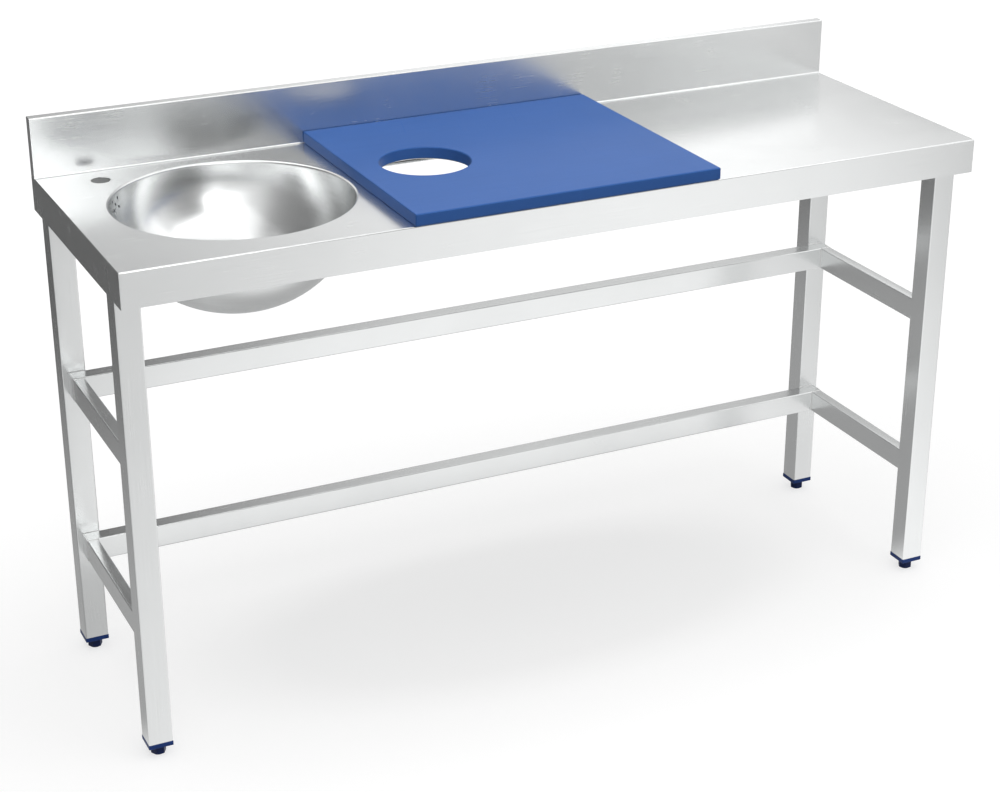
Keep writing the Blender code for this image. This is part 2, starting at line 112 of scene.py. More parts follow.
class Look:
    # a material or the world, and the nodes in it
    def __init__(self, name, world=False):
        self.data = bpy.data.worlds.new(name) if world else bpy.data.materials.new(name)
        self.data.use_nodes = True
        self.tree = self.data.node_tree
        self.tree.nodes.clear()
        self.end = self.tree.nodes.new("ShaderNodeOutputWorld" if world else "ShaderNodeOutputMaterial")

    def add(self, kind, settings=None, sockets=None, output=0):
        node = self.tree.nodes.new(kind)
        for name, value in (settings or {}).items():
            if name == "stops":
                ramp = node.color_ramp.elements
                while len(ramp) < len(value):
                    ramp.new(0.5)
                for stop, (place, tone) in zip(ramp, value):
                    stop.position = place
                    stop.color = (tone, tone, tone, 1.0) if isinstance(tone, float) else (*tone, 1.0)
            else:
                setattr(node, name, value)
        for name, value in (sockets or {}).items():
            if isinstance(value, Wire):
                self.tree.links.new(value.socket, node.inputs[name])
            elif node.inputs[name].type == "RGBA" and len(value) == 3:
                node.inputs[name].default_value = (*value, 1.0)
            else:
                node.inputs[name].default_value = value
        return Wire(self, node.outputs[output])

    def place(self, shift=(0.0, 0.0, 0.0)):
        # object coordinates, counted from the shift
        point = self.add("ShaderNodeTexCoord", output="Object")
        back = [-value for value in shift]
        return self.add("ShaderNodeMapping", sockets={"Vector": point, "Location": back})

    def axes(self, vector):
        return [self.add("ShaderNodeSeparateXYZ", sockets={0: vector}, output=axis) for axis in range(3)]

    def vector(self, x, y, z):
        return self.add("ShaderNodeCombineXYZ", sockets={0: x, 1: y, 2: z})

    def noise(self, vector, scale=1.0, detail=2.0, roughness=0.5):
        sockets = {"Vector": vector, "Scale": scale, "Detail": detail, "Roughness": roughness}
        return self.add("ShaderNodeTexNoise", sockets=sockets)

    def streaks(self, length, across, fineness, detail):
        # noise drawn out along a length: how fine it is along and across
        drawn = self.vector(length * fineness[0], across * fineness[1], 0.0)
        return self.noise(drawn, detail=detail)

    def swing(self, noise, amount):
        # noise lies about one half: this lets it swing about nothing
        return (noise - 0.5) * amount

    def blend(self, first, second, mask):
        settings = {"data_type": "RGBA", "blend_type": "MIX"}
        return self.add("ShaderNodeMix", settings, {0: mask, 6: first, 7: second}, output=2)

    def clamp(self, value, low=0.0, high=1.0):
        return self.add("ShaderNodeClamp", sockets={0: value, 1: low, 2: high})

    def rise(self, value, start, stop):
        # 0 before start, 1 after stop, smooth between
        settings = {"interpolation_type": "SMOOTHSTEP"}
        return self.add("ShaderNodeMapRange", settings, {"Value": value, 1: start, 2: stop, 3: 0.0, 4: 1.0})

    def bump(self, height, strength, distance):
        sockets = {"Height": height, "Strength": strength, "Distance": distance}
        return self.add("ShaderNodeBump", sockets=sockets)

    def finish(self, **sockets):
        shader = self.add("ShaderNodeBsdfPrincipled", sockets={
            name.replace("_", " "): value for name, value in sockets.items()})
        self.tree.links.new(shader.socket, self.end.inputs["Surface"])
        return self.data


# brushed stainless sheet: its tones, how rough it is, how fine its grain is along and across, and how
# far the grain, the clouds and the smears change its tone and roughness
steel = {
    "dark": (0.66, 0.67, 0.67),
    "light": (0.76, 0.77, 0.77),
    "roughness": 0.25,
    "sawnRoughness": 0.32,
    "grain": (7.0, 620.0),
    "fineGrain": (30.0, 2400.0),
    "fineShare": 0.35,
    "clouds": 4.0,
    "smears": 14.4,
    "toneSwing": 0.9,
    "grainSwing": 0.10,
    "smearSwing": 0.09,
    "limits": (0.08, 0.6),
    "sideFrom": 0.7,
    "bump": 0.014,
    "depth": 0.0004,
}


def steelLook(name, along, folded=False, roughness=steel["roughness"]):
    look = Look(name)
    x, y, z = look.axes(look.place())
    if along == "X":
        length, across = x, y + z
    elif along == "Y":
        length, across = y, x + z
    else:
        length, across = z, x + y
    if folded:
        # the grain turns down over the left and right folds with the sheet
        facing = look.axes(look.add("ShaderNodeTexCoord", output="Normal"))[0]
        side = look.add("ShaderNodeMath", {"operation": "ABSOLUTE"}, {0: facing}) > steel["sideFrom"]
        length = x + z * side
        across = y + z * (1 - side)
    grain = look.streaks(length, across, steel["grain"], 3.0)
    fine = look.streaks(length, across, steel["fineGrain"], 1.0)
    streaks = grain * (1 - steel["fineShare"]) + fine * steel["fineShare"]
    clouds = look.noise(look.place(), scale=steel["clouds"], detail=3.0)
    smears = look.noise(look.place(), scale=steel["smears"], detail=4.0, roughness=0.6)
    tone = look.swing(streaks, steel["toneSwing"]) + look.swing(clouds, steel["toneSwing"]) + 0.5
    worn = look.swing(streaks, steel["grainSwing"]) + look.swing(smears, steel["smearSwing"])
    return look.finish(
        Base_Color=look.blend(steel["dark"], steel["light"], look.clamp(tone)),
        Metallic=1.0,
        Roughness=look.clamp(worn + roughness, *steel["limits"]),
        Normal=look.bump(streaks, steel["bump"], steel["depth"]),
    )


# turned steel: how fine its rings are along and across, and how far the rings and the clouds change its
# tone and roughness; outside an oval, from one share of its size to the next, it is duller
spun = {
    "grain": (7.0, 520.0),
    "clouds": 7.0,
    "grainTone": 0.8,
    "cloudTone": 0.9,
    "grainSwing": 0.08,
    "cloudSwing": 0.07,
    "limits": (0.06, 0.6),
    "ovalEdge": (1.003, 1.008),
    "bump": 0.03,
    "depth": 0.0004,
    "bowlRoughness": 0.21,
    "drainRoughness": 0.14,
}


def spunLook(name, centre, roughness, oval=None):
    # the grain runs in rings round the bowl's axis
    look = Look(name)
    x, y, z = look.axes(look.place(centre))
    ring = look.add("ShaderNodeMath", {"operation": "SQRT"}, {0: x * x + y * y})
    dull = 0.0
    if oval:
        height = (look.axes(look.place())[2] - oval["neck"]) / oval["fall"]
        reach = ring / oval["mouth"]
        dull = look.rise(reach * reach + height * height, *spun["ovalEdge"]) * oval["dull"]
    along, across = spun["grain"]
    grain = look.noise(look.vector(x * along, y * along, (ring + z) * across), detail=3.0)
    clouds = look.noise(look.place(centre), scale=spun["clouds"], detail=2.0)
    tone = look.swing(grain, spun["grainTone"]) + look.swing(clouds, spun["cloudTone"]) + 0.5
    worn = look.swing(grain, spun["grainSwing"]) + look.swing(clouds, spun["cloudSwing"])
    return look.finish(
        Base_Color=look.blend(steel["dark"], steel["light"], look.clamp(tone)),
        Metallic=1.0,
        Roughness=look.clamp(worn + roughness + dull, *spun["limits"]),
        Normal=look.bump(grain, spun["bump"], spun["depth"]),
    )


# blended weld: a little duller than the sheet, with faint ripples
bead = {
    "dark": (0.58, 0.58, 0.58),
    "light": (0.72, 0.72, 0.71),
    "roughness": 0.30,
    "rippleSwing": 0.2,
    "ripples": 420.0,
    "clouds": 60.0,
    "bump": 0.25,
    "depth": 0.0005,
}


def weldLook(name):
    look = Look(name)
    ripples = look.noise(look.place(), scale=bead["ripples"], detail=2.0)
    clouds = look.noise(look.place(), scale=bead["clouds"], detail=2.0)
    return look.finish(
        Base_Color=look.blend(bead["dark"], bead["light"], clouds),
        Metallic=1.0,
        Roughness=look.clamp(look.swing(ripples, bead["rippleSwing"]) + bead["roughness"]),
        Normal=look.bump(ripples, bead["bump"], bead["depth"]),
    )


# bright zinc on the bolts and nuts: its tones, its spots, and how rough it is between and on them
zinc = {
    "dark": (0.52, 0.53, 0.55),
    "light": (0.70, 0.71, 0.73),
    "spots": 300.0,
    "roughness": 0.24,
    "spotRoughness": 0.2,
    "bump": 0.08,
    "depth": 0.0003,
}


def zincLook(name):
    look = Look(name)
    spots = look.noise(look.place(), scale=zinc["spots"], detail=3.0)
    return look.finish(
        Base_Color=look.blend(zinc["dark"], zinc["light"], spots),
        Metallic=1.0,
        Roughness=zinc["roughness"] + spots * zinc["spotRoughness"],
        Normal=look.bump(spots, zinc["bump"], zinc["depth"]),
    )


# moulded polyethylene board: its tones, how rough it is, how much it shines, its clouds, pores and
# planed marks, the fine knife lines at three angles, and what each adds to its tone, roughness and height
board = {
    "dark": (0.036, 0.122, 0.39),
    "light": (0.045, 0.144, 0.455),
    "roughness": 0.42,
    "shine": 0.11,
    "clouds": 9.0,
    "pores": 1500.0,
    "planed": (6.0, 260.0),
    "lineAngles": (12, 74, 131),
    "lineShift": 0.37,
    "lineGrain": (5.0, 420.0),
    "lineEdge": (0.77, 0.83),
    "cloudTone": 0.8,
    "planedTone": 0.5,
    "lineTone": 0.25,
    "poreSwing": 0.12,
    "lineRoughness": 0.08,
    "poreHeight": 0.3,
    "planedHeight": 0.4,
    "lineHeight": -0.35,
    "bump": 0.10,
    "depth": 0.0004,
}


def boardLook(name):
    look = Look(name)
    x, y, z = look.axes(look.place())
    clouds = look.noise(look.place(), scale=board["clouds"], detail=3.0)
    pores = look.noise(look.place(), scale=board["pores"], detail=2.0)
    along, across = board["planed"]
    planed = look.noise(look.vector(x * along, y * across, z * across), detail=2.0)
    lines = 0.0
    for number, angle in enumerate(board["lineAngles"]):
        cosine, sine = cos(radians(angle)), sin(radians(angle))
        length = x * cosine + y * sine + board["lineShift"] * number
        off = y * cosine - x * sine
        cut = look.streaks(length, off, board["lineGrain"], 0.0)
        lines = look.rise(cut, *board["lineEdge"]) + lines
    tone = look.swing(clouds, board["cloudTone"]) + look.swing(planed, board["planedTone"])
    tone = tone + lines * board["lineTone"] + 0.5
    worn = look.swing(pores, board["poreSwing"]) + lines * board["lineRoughness"]
    height = pores * board["poreHeight"] + planed * board["planedHeight"] + lines * board["lineHeight"]
    return look.finish(
        Base_Color=look.blend(board["dark"], board["light"], look.clamp(tone)),
        Metallic=0.0,
        Roughness=look.clamp(worn + board["roughness"]),
        Specular_IOR_Level=board["shine"],
        Normal=look.bump(height, board["bump"], board["depth"]),
    )


# moulded plastic and rubber: tones, how rough, and how much they shine
plastics = {
    "plug": {
        "name": "blue moulded plastic", "dark": (0.015, 0.049, 0.22), "light": (0.020, 0.064, 0.27),
        "roughness": 0.38, "shine": 0.15,
    },
    "foot": {
        "name": "dark blue moulded plastic", "dark": (0.011, 0.024, 0.100), "light": (0.015, 0.032, 0.130),
        "roughness": 0.42, "shine": 0.12,
    },
    "rubber": {
        "name": "black rubber", "dark": (0.012, 0.012, 0.012), "light": (0.020, 0.020, 0.020),
        "roughness": 0.65, "shine": 0.5,
    },
}
plasticSkin = {"clouds": 40.0, "skin": 900.0, "skinSwing": 0.15, "bump": 0.12, "depth": 0.0003}


def plasticLook(name, dark, light, roughness, shine):
    look = Look(name)
    clouds = look.noise(look.place(), scale=plasticSkin["clouds"], detail=2.0)
    skin = look.noise(look.place(), scale=plasticSkin["skin"], detail=2.0)
    return look.finish(
        Base_Color=look.blend(dark, light, clouds),
        Metallic=0.0,
        Roughness=look.clamp(look.swing(skin, plasticSkin["skinSwing"]) + roughness),
        Specular_IOR_Level=shine,
        Normal=look.bump(skin, plasticSkin["bump"], plasticSkin["depth"]),
    )


sinkCentre = (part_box("sink_bowl")[0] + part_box("sink_bowl")[1]) / 2
sinkCentre.z = 0.0

finishes = {
    "foldedSheet": steelLook("folded steel sheet", "X", folded=True),
    "tubeX": steelLook("steel tube along the table", "X"),
    "tubeY": steelLook("steel tube across the table", "Y"),
    "tubeZ": steelLook("steel tube upright", "Z"),
    "plate": steelLook("sawn steel plate", "Y", roughness=steel["sawnRoughness"]),
    "spunDrain": spunLook("polished steel strainer", sinkCentre, spun["drainRoughness"]),
    "weld": weldLook("blended weld"),
    "zinc": zincLook("bright zinc"),
    "board": boardLook("blue polyethylene"),
}
for key, mix in plastics.items():
    finishes[key] = plasticLook(**mix)
print("finishes made:", len(finishes))


# how near two corners are joined, below what angle a copy's faces run together, and how many steps a
# small round hole or stud has
joining = {
    "copyGap": 0.000002,
    "flatBelow": 0.3,
    "meshGap": 0.000001,
    "smallRound": 24,
}


def putPiece(name, bm, finish, body, hides=(), smooth=30.0):
    mesh = bpy.data.meshes.new(name)
    bm.to_mesh(mesh)
    bm.free()
    mesh.materials.append(finishes[finish])
    mesh.shade_smooth()
    mesh.set_sharp_from_angle(angle=radians(smooth))
    item = bpy.data.objects.new(name, mesh)
    bpy.context.scene.collection.objects.link(item)
    even = item.modifiers.new("even shading", "WEIGHTED_NORMAL")
    even.keep_sharp = True
    even.weight = 100
    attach(item, body)
    if hides:
        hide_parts(*hides)


def smoothCopy(node, name, finish, body="base", smooth=30.0):
    # the CAD solid again, joined up so that its rounded edges shade smoothly
    bm = bmesh.new()
    bm.from_mesh(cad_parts[node].data)
    bmesh.ops.remove_doubles(bm, verts=bm.verts, dist=joining["copyGap"])
    flat = radians(joining["flatBelow"])
    bmesh.ops.dissolve_limit(bm, angle_limit=flat, verts=bm.verts, edges=bm.edges)
    putPiece(name, bm, finish, body, [node], smooth)


def recalc(bm):
    # corners that meet are joined, and then the faces turned outwards
    bmesh.ops.remove_doubles(bm, verts=bm.verts, dist=joining["meshGap"])
    bmesh.ops.recalc_face_normals(bm, faces=bm.faces)


def edgesAlong(bm, axis):
    # the edges that run along an axis
    return [edge for edge in bm.edges
            if abs((edge.verts[1].co - edge.verts[0].co).normalized()[axis]) > 0.99]


def bevelEdges(bm, edges, offset, segments):
    bmesh.ops.bevel(bm, geom=edges, offset=offset, offset_type="OFFSET", segments=segments, profile=0.5,
                    affect="EDGES", material=-1)
    return bm


def roundBar(low, high, radius, segments=4, axes=(0, 1, 2)):
    # a bar between two corners, rounded along the chosen axes
    low, high = Vector(low), Vector(high)
    bm = bmesh.new()
    size = Matrix.Diagonal((*(high - low), 1.0))
    bmesh.ops.create_cube(bm, size=1.0, matrix=Matrix.Translation((low + high) / 2) @ size)
    edges = [edge for axis in axes for edge in edgesAlong(bm, axis)]
    return bevelEdges(bm, edges, radius, segments)


def joinInto(bm, other):
    mesh = bpy.data.meshes.new("part")
    other.to_mesh(mesh)
    other.free()
    bm.from_mesh(mesh)
    bpy.data.meshes.remove(mesh)
    return bm


def spinRound(bm, geom, steps):
    # once round the upright axis
    bmesh.ops.spin(bm, geom=geom, cent=(0.0, 0.0, 0.0), axis=(0.0, 0.0, 1.0), angle=2 * pi, steps=steps,
                   use_merge=True)
    recalc(bm)


def turned(profile, centre, steps):
    # spins a closed profile of (radius, height) points round the upright axis through the centre
    bm = bmesh.new()
    verts = [bm.verts.new((radius, 0.0, height)) for radius, height in profile]
    edges = [bm.edges.new(pair) for pair in zip(verts, verts[1:] + verts[:1])]
    spinRound(bm, verts + edges, steps)
    bmesh.ops.translate(bm, verts=bm.verts, vec=(centre[0], centre[1], 0.0))
    return bm


def cutMesh(bm, cutter, operation="DIFFERENCE"):
    # one shape taken out of another, or kept only where the two overlap
    items = []
    for shape in (bm, cutter):
        mesh = bpy.data.meshes.new("cutting")
        shape.to_mesh(mesh)
        shape.free()
        items.append(bpy.data.objects.new("cutting", mesh))
        bpy.context.scene.collection.objects.link(items[-1])
    cut = items[0].modifiers.new("cut", "BOOLEAN")
    cut.operation = operation
    cut.solver = "EXACT"
    cut.object = items[1]
    result = bmesh.new()
    result.from_object(items[0], bpy.context.evaluated_depsgraph_get())
    for item in items:
        mesh = item.data
        bpy.data.objects.remove(item)
        bpy.data.meshes.remove(mesh)
    return result


def softEdges(bm, offset, segments=2, angle=35.0):
    # rounds every edge that is sharper than the angle
    edges = [edge for edge in bm.edges
             if len(edge.link_faces) == 2 and edge.calc_face_angle() > radians(angle)]
    return bevelEdges(bm, edges, offset, segments)


def cylinder(radius, bottom, top, segments, place=(0.0, 0.0)):
    bm = bmesh.new()
    middle = Matrix.Translation((place[0], place[1], (bottom + top) / 2))
    bmesh.ops.create_cone(bm, cap_ends=True, segments=segments, radius1=radius, radius2=radius,
                          depth=top - bottom, matrix=middle)
    return bm


# the cone that takes off a hexagon's corners: it starts just inside the flats, reaches just past the
# corners, and stands out past an end that keeps its corners
chamferCone = {
    "inside": 0.97,
    "outside": 1.05,
    "past": 0.001,
    "steps": 48,
}


def hexagon(flats, bottom, top, chamfer, turn, ends=(True, True)):
    # a hexagon with the corners taken off at the ends that are asked for
    corner = flats / 2 / cos(pi / 6)
    bm = cylinder(corner, bottom, top, 6)
    bm.transform(Matrix.Rotation(radians(turn), 4, "Z"))
    wide, narrow = corner * chamferCone["outside"], flats / 2 * chamferCone["inside"]
    drop, past = chamfer * (wide - narrow) / (corner - narrow), chamferCone["past"]
    profile = [(narrow, bottom), (wide, bottom + drop)] if ends[0] else [(wide, bottom - past)]
    profile += [(wide, top - drop), (narrow, top)] if ends[1] else [(wide, top + past)]
    cone = bmesh.new()
    verts = [cone.verts.new((0.0, 0.0, profile[0][1]))]
    verts += [cone.verts.new((radius, 0.0, height)) for radius, height in profile]
    verts += [cone.verts.new((0.0, 0.0, profile[-1][1]))]
    edges = [cone.edges.new(pair) for pair in zip(verts, verts[1:])]
    spinRound(cone, verts + edges, chamferCone["steps"])
    return cutMesh(bm, cone, "INTERSECT")


# a thread: its depth, base and crest as shares of the pitch, how far its ridge is sunk into the core,
# the steps in one turn, and how round the core's ends are
thread = {
    "depth": 0.6,
    "base": 0.45,
    "crest": 0.10,
    "sunk": 0.0002,
    "steps": 16,
    "round": 0.0004,
}


def threaded(radius, bottom, top, pitch):
    # a stud: its core, and the ridge wound up it
    root = radius - pitch * thread["depth"]
    inner, base, crest, steps = root - thread["sunk"], thread["base"], thread["crest"], thread["steps"]
    ridge = bmesh.new()
    profile = [(inner, -base), (radius, -crest), (radius, crest), (inner, base)]
    verts = [ridge.verts.new((reach, 0.0, bottom + pitch * (0.5 + rise))) for reach, rise in profile]
    edges = [ridge.edges.new(pair) for pair in zip(verts, verts[1:] + verts[:1])]
    turns = int((top - bottom) / pitch) - 1
    bmesh.ops.spin(ridge, geom=verts + edges, cent=(0.0, 0.0, 0.0), axis=(0.0, 0.0, 1.0),
                   dvec=(0.0, 0.0, pitch / steps), angle=2 * pi * turns, steps=steps * turns)
    bmesh.ops.holes_fill(ridge, edges=[edge for edge in ridge.edges if edge.is_boundary])
    recalc(ridge)
    core = softEdges(cylinder(root, bottom, top, joining["smallRound"]), thread["round"])
    return joinInto(core, ridge)


# the plates in the upstand's ends: how far they reach into the weld all round, and their corners
upstandEnd = {
    "reach": (0.0, 0.0004, 0.0004),
    "round": 0.0002,
}


def makeUpstandEnd(side):
    low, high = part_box(f"upstand_end_{side}")
    grow = Vector(upstandEnd["reach"])
    bm = roundBar(low - grow, high + grow, upstandEnd["round"], 1)
    putPiece(f"upstandEnd_{side}", bm, "plate", "base", [f"upstand_end_{side}"])


smoothCopy("worktop_sheet", "worktop", "foldedSheet")
for side in sides:
    makeUpstandEnd(side)
print("worktop done")


# the bowl: its mouth, how it curves down, the flat seat round its drain, how much duller its outside
# is, the flange under the sheet, and the overflow holes
bowl = {
    "mouth": 0.19515,
    "top": 0.8474,
    "neck": 0.8440,
    "fall": 0.172,
    "seat": 0.036,
    "seatOutside": 0.038,
    "drainHole": 0.020,
    "wall": 0.001,
    "dull": 0.16,
    "lip": 0.0008,
    "flange": 0.213,
    "flangeHeight": 0.8482,
    "steps": 160,
    "rings": 40,
    "holeAngle": 145.0,
    "holeHeight": 0.829,
    "holeRadius": 0.0026,
    "holesAcross": 0.0115,
    "holesUp": 0.0072,
    "holeReach": 0.01,
    "holes": ((-1, -1), (-1, 1), (1, -1), (1, 1), (0, 0)),
}
finishes["spunBowl"] = spunLook("spun steel bowl", sinkCentre, spun["bowlRoughness"], bowl)


def ovalPoints(radius, fall, top, seat, rings):
    # down the half-oval from the neck to the drain seat
    start = seat / radius
    points = []
    for ring in range(rings + 1):
        angle = pi / 2 * (1 - ring / rings)
        reach = radius * sin(angle)
        if reach < start * radius:
            break
        points.append((reach, top - fall * cos(angle)))
    points.append((seat, top - fall * sqrt(1 - start * start)))
    return points


def makeBowl():
    wall, mouth, neck, flangeTop = bowl["wall"], bowl["mouth"], bowl["neck"], bowl["flangeHeight"]
    inside = ovalPoints(mouth, bowl["fall"], neck, bowl["seat"], bowl["rings"])
    outside = ovalPoints(mouth + wall, bowl["fall"] + wall, neck, bowl["seatOutside"], bowl["rings"])
    floor = inside[-1][1]
    profile = [(mouth, bowl["top"])] + inside
    profile += [(bowl["drainHole"], floor), (bowl["drainHole"], floor - wall)]
    profile += outside[::-1]
    profile += [(mouth + wall, flangeTop - wall), (bowl["flange"], flangeTop - wall)]
    profile += [(bowl["flange"], flangeTop), (mouth + bowl["lip"], flangeTop)]
    holes = bmesh.new()
    for across, up in bowl["holes"]:
        hole = cylinder(bowl["holeRadius"], -bowl["holeReach"], bowl["holeReach"], joining["smallRound"])
        hole.transform(Matrix.Translation((mouth, across * bowl["holesAcross"], up * bowl["holesUp"]))
                       @ Matrix.Rotation(pi / 2, 4, "Y"))
        joinInto(holes, hole)
    centre = Matrix.Translation((sinkCentre.x, sinkCentre.y, bowl["holeHeight"]))
    holes.transform(centre @ Matrix.Rotation(radians(bowl["holeAngle"]), 4, "Z"))
    shell = cutMesh(turned(profile, sinkCentre, bowl["steps"]), holes)
    putPiece("bowl", shell, "spunBowl", "base", ["sink_bowl"], smooth=40.0)


# the strainer pressed into the drain: its flange, its dish, and its holes
strainer = {
    "edge": 0.0333,
    "pipe": 0.0197,
    "bore": 0.0182,
    "dish": 0.004,
    "wall": 0.0015,
    "hole": 0.0022,
    "rings": ((6, 0.40), (12, 0.75)),
    "round": 0.0004,
    "steps": 96,
}


def makeStrainer():
    low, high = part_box("drain_strainer")
    top, bore, wall = high.z, strainer["bore"], strainer["wall"]
    dish = top - strainer["dish"]
    profile = [(strainer["hole"], dish), (bore - wall, dish), (bore, top), (strainer["edge"], top)]
    profile += [(strainer["edge"], top - wall), (strainer["pipe"], top - wall), (strainer["pipe"], low.z)]
    profile += [(bore, low.z), (bore, dish - wall), (strainer["hole"], dish - wall)]
    shape = softEdges(turned(profile, sinkCentre, strainer["steps"]), strainer["round"], 3)
    holes = bmesh.new()
    for count, distance in strainer["rings"]:
        for number in range(count):
            turn = Matrix.Rotation(2 * pi * number / count, 4, "Z")
            place = sinkCentre + turn @ Vector((bore * distance, 0.0, 0.0))
            bottom, over = dish - 3 * wall, dish + 2 * wall
            joinInto(holes, cylinder(strainer["hole"], bottom, over, joining["smallRound"], place))
    putPiece("drainStrainer", cutMesh(shape, holes), "spunDrain", "base", ["drain_strainer"])


makeBowl()
makeStrainer()
smoothCopy("drain_gasket", "drainGasket", "rubber")
smoothCopy("drain_backnut", "drainBacknut", "plug")
smoothCopy("overflow_box", "overflowBox", "foot")
print("bowl done")

smoothCopy("cutting_board", "cuttingBoard", "board", body="board", smooth=60.0)
print("board done")

for corner in corners:
    smoothCopy(f"leg_{corner}", f"leg_{corner}_tube", "tubeZ", smooth=50.0)
    smoothCopy(f"leg_plate_{corner}", f"legPlate_{corner}", "plate")
for level in levels:
    smoothCopy(f"rear_stretcher_{level}", f"rearStretcher_{level}", "tubeX", smooth=50.0)
    for side in sides:
        smoothCopy(f"side_stretcher_{level}_{side}", f"sideStretcher_{level}_{side}", "tubeY", smooth=50.0)
        smoothCopy(f"rear_stretcher_cap_{level}_{side}", f"rearCap_{level}_{side}", "plate")
for node in ("channel_left", "channel_right", "stiffener_centre", "stiffener_right"):
    smoothCopy(node, f"{node}_fold", "tubeY")
print("frame done")


# welds: how far a bead stands out round a tube, how wide it is, how round, and within what height an
# edge counts as lying across the tube
weld = {
    "stand": 0.0006,
    "width": 0.0016,
    "corner": 0.0024,
    "round": 0.0006,
    "level": 0.00001,
}


def weldRing(bm, low, high, axis, place):
    # a bead round a tube where it meets the next one, across the joint
    grow = Vector((weld["stand"],) * 3)
    low, high = low - grow, high + grow
    low[axis], high[axis] = place - weld["width"] / 2, place + weld["width"] / 2
    ring = roundBar(low, high, weld["corner"], 4, axes=(axis,))
    rims = [edge for edge in ring.edges if abs((edge.verts[1].co - edge.verts[0].co)[axis]) < weld["level"]]
    joinInto(bm, bevelEdges(ring, rims, weld["round"], 3))


def makeWelds():
    for side in sides:
        bm = bmesh.new()
        legLow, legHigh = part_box(f"leg_rear_{side}")
        for level in levels:
            low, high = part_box(f"side_stretcher_{level}_{side}")
            weldRing(bm, low, high, 1, (low.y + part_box(f"leg_front_{side}")[1].y) / 2)
            barLow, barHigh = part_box(f"rear_stretcher_{level}")
            weldRing(bm, low, high, 1, (high.y + barLow.y) / 2)
            # the long tube laps the rear leg, as far as the leg's inner edge
            low, high = barLow.copy(), barHigh.copy()
            low.x, high.x = max(low.x, legLow.x), min(high.x, legHigh.x)
            weldRing(bm, low, high, 1, (barHigh.y + legLow.y) / 2)
        for row in ("front", "rear"):
            low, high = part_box(f"leg_{row}_{side}")
            weldRing(bm, low, high, 2, (high.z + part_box(f"leg_plate_{row}_{side}")[0].z) / 2)
        putPiece(f"frameWelds_{side}", bm, "weld", "base", smooth=50.0)


makeWelds()
print("welds done")


# bolts that hold the legs' plates to their channels: the head, and the stud sunk a little into it
bolt = {
    "flats": 0.013,
    "head": 0.0053,
    "chamfer": 0.0007,
    "turn": 30.0,
    "radius": 0.004,
    "pitch": 0.00125,
    "sunk": 0.0002,
}


def middle(low, high):
    # the place of a box's upright axis
    return (low.x + high.x) / 2, (low.y + high.y) / 2, 0.0


def makeBolt(corner, row):
    low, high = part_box(f"leg_bolt_{corner}_{row}")
    top = low.z + bolt["head"]
    bm = hexagon(bolt["flats"], low.z, top, bolt["chamfer"], bolt["turn"], (True, False))
    joinInto(bm, threaded(bolt["radius"], top - bolt["sunk"], high.z, bolt["pitch"]))
    bmesh.ops.translate(bm, verts=bm.verts, vec=middle(low, high))
    putPiece(f"legBolt_{corner}_{row}", bm, "zinc", "base", [f"leg_bolt_{corner}_{row}"])


for corner in corners:
    for row in ("near", "far"):
        makeBolt(corner, row)
print("bolts done")


# screw feet: the hexagon, the pad that it stands on, and the stud sunk a little into it
foot = {
    "flats": 0.022,
    "height": 0.0185,
    "chamfer": 0.0006,
    "turn": 30.0,
    "pad": 0.0096,
    "padHeight": 0.0012,
    "padSteps": 48,
    "round": 0.0004,
    "stud": 0.005,
    "pitch": 0.0015,
    "sunk": 0.0005,
}
# the nut in each plug: its corners, and the hole that the stud screws through
footNut = {
    "chamfer": 0.0008,
    "turn": 30.0,
    "bore": 0.0053,
    "boreSteps": 32,
    "past": 0.001,
}


def makeFoot(corner):
    low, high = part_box(f"foot_{corner}")
    floor, top, edge = low.z + foot["padHeight"], low.z + foot["height"], foot["round"]
    bm = softEdges(hexagon(foot["flats"], floor, top, foot["chamfer"], foot["turn"]), edge)
    pad = cylinder(foot["pad"], low.z, low.z + 2 * foot["padHeight"], foot["padSteps"])
    joinInto(bm, softEdges(pad, edge))
    joinInto(bm, threaded(foot["stud"], top - foot["sunk"], high.z, foot["pitch"]))
    bmesh.ops.translate(bm, verts=bm.verts, vec=middle(low, high))
    putPiece(f"screwFoot_{corner}", bm, "foot", f"foot_{corner}", [f"foot_{corner}"])


def makeFootNut(corner):
    low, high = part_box(f"foot_nut_{corner}")
    flats, past = min(high.x - low.x, high.y - low.y), footNut["past"]
    nut = hexagon(flats, low.z, high.z, footNut["chamfer"], footNut["turn"])
    bm = cutMesh(nut, cylinder(footNut["bore"], low.z - past, high.z + past, footNut["boreSteps"]))
    bmesh.ops.translate(bm, verts=bm.verts, vec=middle(low, high))
    putPiece(f"footNut_{corner}", bm, "zinc", "base", [f"foot_nut_{corner}"])


for corner in corners:
    smoothCopy(f"leg_plug_{corner}", f"legPlug_{corner}", "plug")
    makeFoot(corner)
    makeFootNut(corner)
print("feet done")


